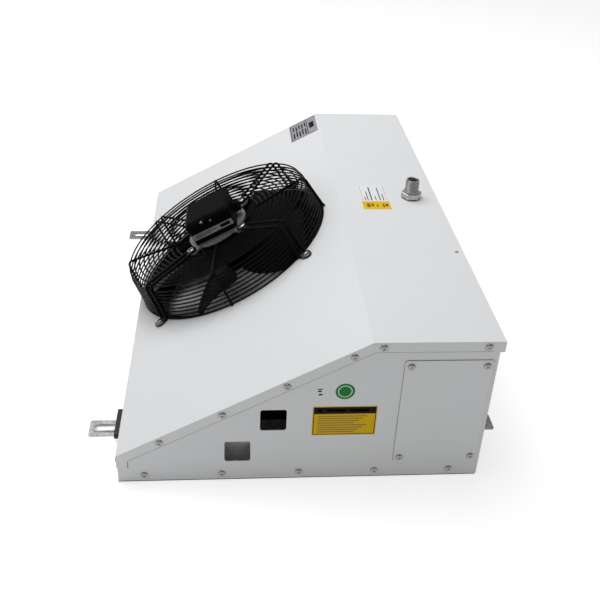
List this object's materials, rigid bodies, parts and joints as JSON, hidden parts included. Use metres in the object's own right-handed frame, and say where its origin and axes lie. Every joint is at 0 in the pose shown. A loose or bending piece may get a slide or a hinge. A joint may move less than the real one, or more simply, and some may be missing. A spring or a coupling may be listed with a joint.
{
  "type": "unit cooler",
  "caption": "Ceiling-hung unit cooler with a slanted fan face, wire guard, outer-rotor fan, finned coil, drip tray, drain spigot and slotted hanging brackets, lying on its ceiling face",
  "frame": {"origin": "Bottom centre of the whole part, in the plane of the hanging brackets' ceiling faces. The part lies on its ceiling face; in use it is turned over and hung.", "axes": "+X runs from the low front edge to the coil face at the back, +Y from the service side to the far side, +Z from the ceiling face to the drain face, which points down in use."},
  "size_m": [0.709, 0.9763, 0.3146],
  "materials": {
    "white_paint": "white powder coat, fine texture",
    "galvanised": "galvanised sheet with faint spangle",
    "zinc_fastener": "bright zinc plated",
    "black_wire": "black coated wire, satin",
    "black_plastic": "black moulded plastic, fine texture",
    "black_metal": "black paint on sheet steel",
    "cast_alloy": "die-cast aluminium",
    "copper": "copper tube, lightly tarnished",
    "fin_alloy": "aluminium fin stock",
    "bearing_steel": "ground steel",
    "rubber_black": "black rubber",
    "plated_brass": "nickel plated brass, dull",
    "core_steel": "stacked core plates"
  },
  "bodies": {
    "cabinet": {"hood": "white_paint", "near_side_panel": "white_paint", "far_side_panel": "white_paint", "ceiling_panel": "white_paint", "access_cover": "white_paint", "front_near_bracket": "galvanised", "front_far_bracket": "galvanised", "rear_near_bracket": "galvanised", "rear_far_bracket": "galvanised", "bracket_buffer": "rubber_black", "bell_mouth": "black_metal", "wire_guard": "black_wire", "stator_flange": "cast_alloy", "stator_core": "core_steel", "inner_bearing": "bearing_steel", "outer_bearing": "bearing_steel", "junction_box": "black_plastic", "junction_box_lid": "black_plastic", "cable_gland": "black_plastic", "coil_fins": "fin_alloy", "near_end_plate": "galvanised", "far_end_plate": "galvanised", "coil_tubes": "copper", "near_return_bends": "copper", "far_return_bends": "copper", "suction_header": "copper", "liquid_header": "copper", "terminal_box": "black_plastic", "drip_tray": "galvanised", "drain_gasket": "rubber_black", "drain_spigot": "plated_brass", "drain_locknut": "plated_brass", "hood_screws": "zinc_fastener", "base_screws": "zinc_fastener", "front_screws": "zinc_fastener", "cover_screws": "zinc_fastener", "motor_screws": "zinc_fastener", "bracket_screws": "zinc_fastener", "guard_screws": "zinc_fastener", "guard_washers": "zinc_fastener"},
    "fan": {"impeller": "black_metal", "rotor_can": "black_metal", "motor_shaft": "bearing_steel"}
  },
  "joints": [
    {"name": "fan_spin", "type": "hinge", "parent": "cabinet", "child": "fan", "pos_m": [-0.1073, 0, 0.1561], "axis": [-0.4792, 0, 0.8777], "continuous": true}
  ]
}
